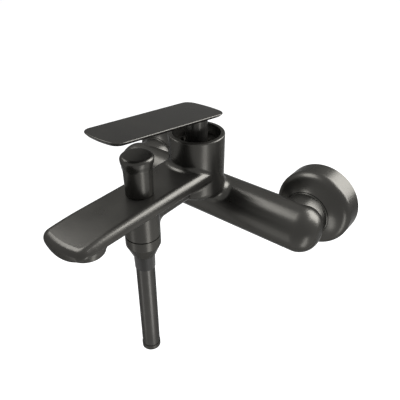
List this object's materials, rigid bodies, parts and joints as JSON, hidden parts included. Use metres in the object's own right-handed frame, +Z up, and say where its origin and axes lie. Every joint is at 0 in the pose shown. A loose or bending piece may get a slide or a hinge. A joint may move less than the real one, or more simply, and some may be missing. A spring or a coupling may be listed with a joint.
{
  "type": "wall mounted bath faucet",
  "caption": "Exposed single-lever bath mixer on a round wall bar with round escutcheons, flat blade spout, pull-up diverter knob and a hand shower hose stub.",
  "frame": {"origin": "on the wall face, midway between the axes of the two wall studs", "axes": "+X along the wall to the right as seen from the room, +Y into the wall, +Z up; the spout points to -Y"},
  "size_m": [0.21, 0.2075, 0.1962],
  "materials": {
    "gunmetal_coated_metal": "satin gunmetal coating",
    "brass": "machined",
    "stainless_steel": "drawn",
    "zinc_alloy": "die cast",
    "alumina_ceramic": "lapped ceramic",
    "white_plastic": "moulded",
    "dark_plastic": "moulded",
    "rubber": "matt",
    "hose_cover": "satin metallic"
  },
  "bodies": {
    "faucet_body": {"body_casting": "gunmetal_coated_metal", "hose_nut": "gunmetal_coated_metal", "hose_end_band": "gunmetal_coated_metal", "aerator_housing": "gunmetal_coated_metal", "cartridge_nut": "gunmetal_coated_metal", "hose_outlet_nipple": "gunmetal_coated_metal", "union_nut_left": "gunmetal_coated_metal", "escutcheon_left": "gunmetal_coated_metal", "union_nut_right": "gunmetal_coated_metal", "escutcheon_right": "gunmetal_coated_metal", "hose_tail": "brass", "diverter_gland": "brass", "inlet_nipple_left": "brass", "eccentric_union_left": "brass", "inlet_nipple_right": "brass", "eccentric_union_right": "brass", "diverter_spring": "stainless_steel", "ceramic_disc_fixed": "alumina_ceramic", "cartridge_base": "white_plastic", "cartridge_housing": "white_plastic", "aerator_insert": "white_plastic", "hose_ferrule": "dark_plastic", "cartridge_base_seals": "rubber", "diverter_gland_ring": "rubber", "aerator_washer": "rubber", "hose_washer": "rubber", "filter_washer_left": "rubber", "escutcheon_grip_ring_left": "rubber", "filter_washer_right": "rubber", "escutcheon_grip_ring_right": "rubber", "hose": "hose_cover"},
    "lever_turn": {"cartridge_rotor": "white_plastic", "stem_pivot_pin": "stainless_steel"},
    "lever": {"lever_handle": "gunmetal_coated_metal", "cartridge_stem": "zinc_alloy", "lever_grub_screw": "stainless_steel", "grub_screw_plug": "dark_plastic"},
    "mixing_disc": {"ceramic_disc_moving": "alumina_ceramic", "disc_carrier": "white_plastic"},
    "diverter": {"diverter_knob": "gunmetal_coated_metal", "diverter_stem": "stainless_steel", "diverter_plunger": "brass", "diverter_plunger_washers": "rubber"}
  },
  "joints": [
    {"name": "lever_temperature", "type": "hinge", "parent": "faucet_body", "child": "lever_turn", "pos_m": [0, -0.0635, 0.0485], "axis": [0, 0, 1], "range_deg": [-45, 45]},
    {"name": "lever_lift", "type": "hinge", "parent": "lever_turn", "child": "lever", "pos_m": [0, -0.0635, 0.0485], "axis": [-1, 0, 0], "range_deg": [0, 25]},
    {"name": "mixing_disc_slide", "type": "slide", "parent": "lever_turn", "child": "mixing_disc", "axis": [0, -1, 0], "range_m": [0, 0.0053]},
    {"name": "diverter_pull", "type": "slide", "parent": "faucet_body", "child": "diverter", "axis": [0, 0, 1], "range_m": [0, 0.0095], "stiffness_N_per_m": 150, "springref_m": -0.01, "deforming": ["diverter_spring"]}
  ],
  "couplings": [
    {"joint": "mixing_disc_slide", "follows": "lever_lift", "m_per_rad": 0.0119}
  ]
}
